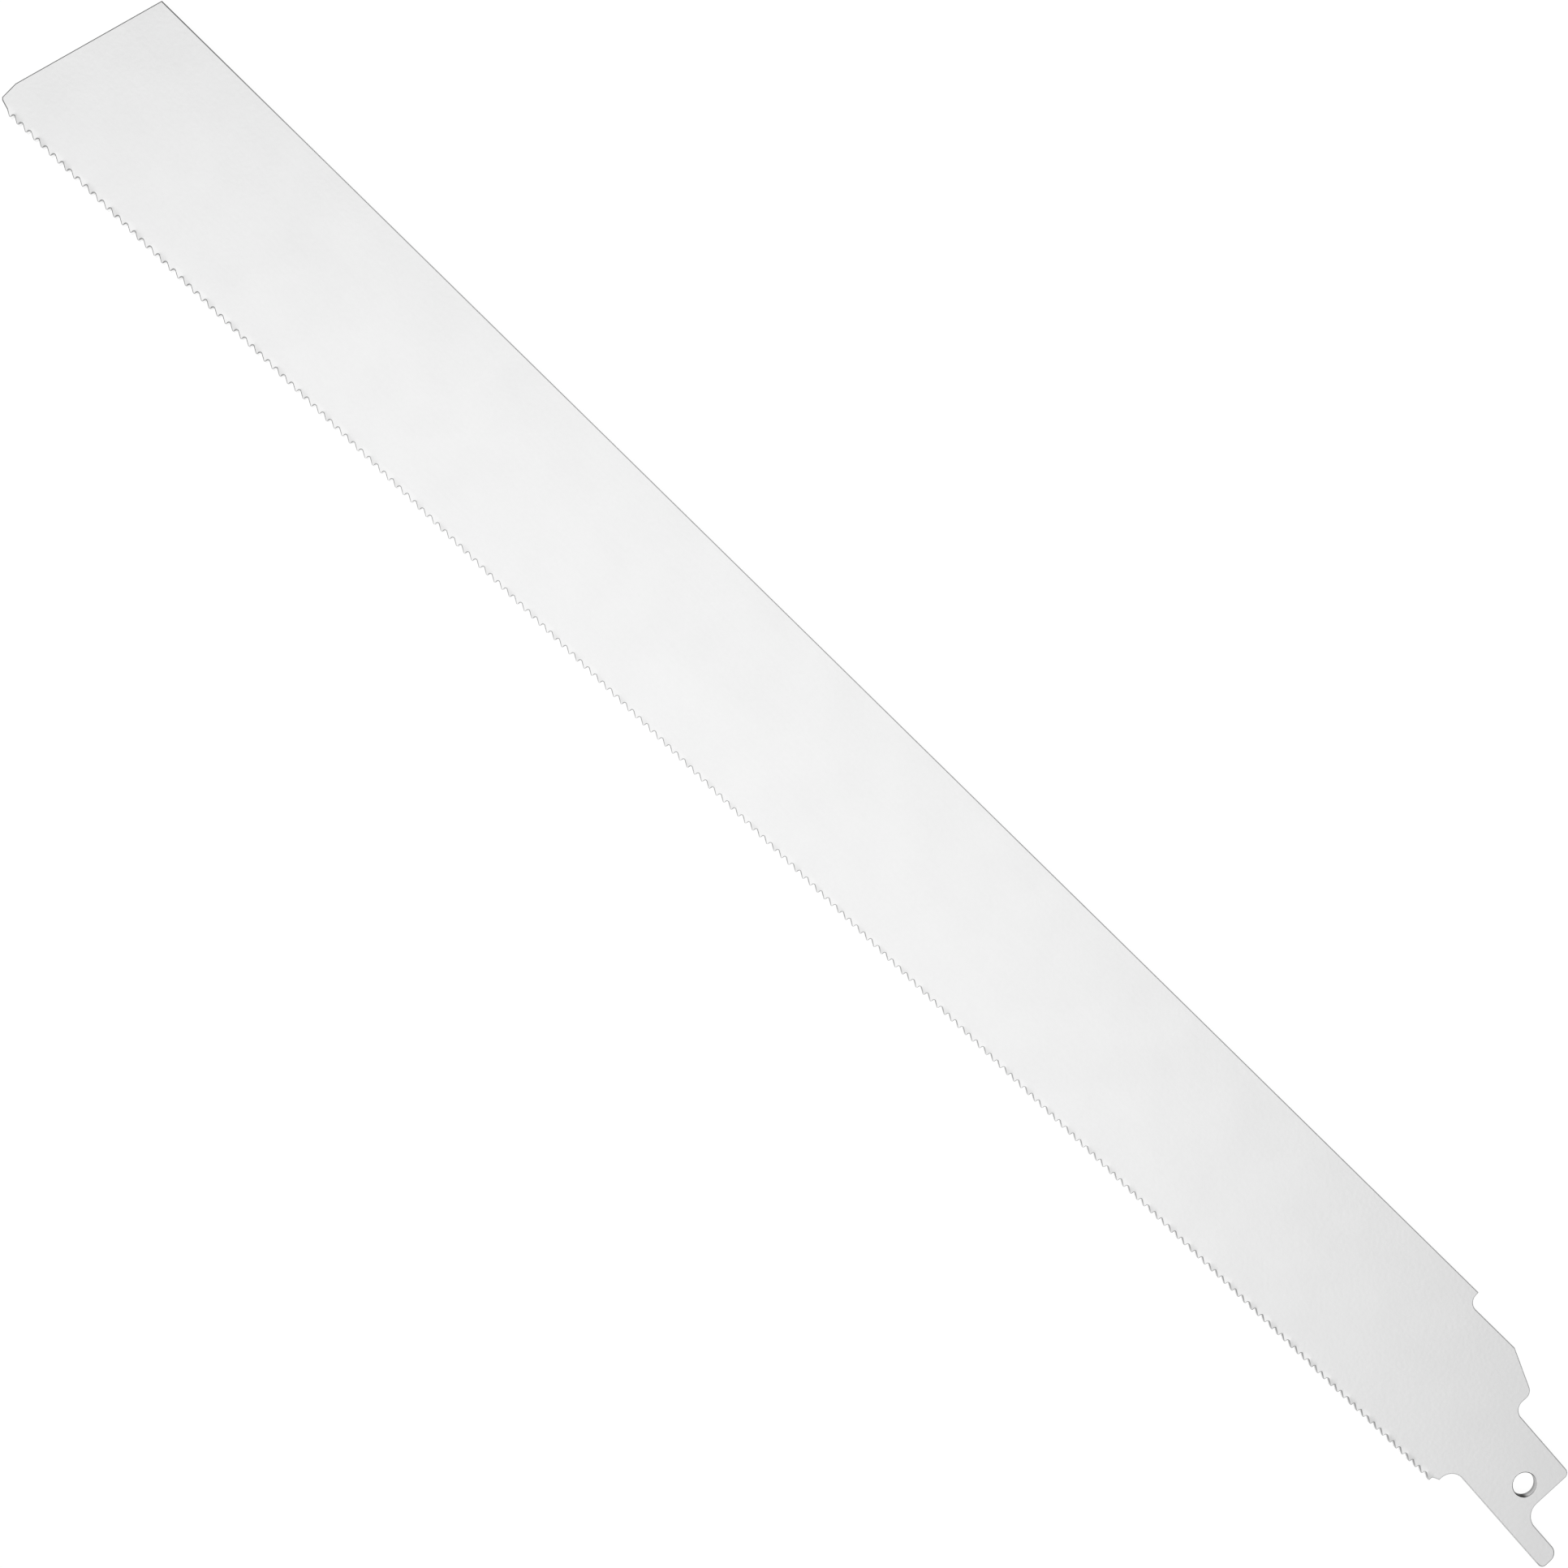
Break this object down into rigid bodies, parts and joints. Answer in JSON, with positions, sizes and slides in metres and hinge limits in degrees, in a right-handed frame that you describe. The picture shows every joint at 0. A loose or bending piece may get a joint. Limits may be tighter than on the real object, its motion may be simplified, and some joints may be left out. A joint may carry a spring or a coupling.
{
  "type": "reciprocating saw blade",
  "caption": "Long flat metal-cutting blade with a fine set-toothed edge, a slanted free end and a canted shank with a pin hole and a hooked tail.",
  "frame": {"origin": "centre of the shank's pin hole at mid thickness", "axes": "+X along the blade from the shank to the free end, +Y towards the toothed edge, +Z square to the flat faces"},
  "size_m": [0.3021, 0.0252, 0.0012],
  "materials": {
    "blade_steel": "bare bright steel with a fine even satin surface and slightly broken edges"
  },
  "bodies": {
    "root": {"saw_blade": "blade_steel"}
  },
  "joints": []
}
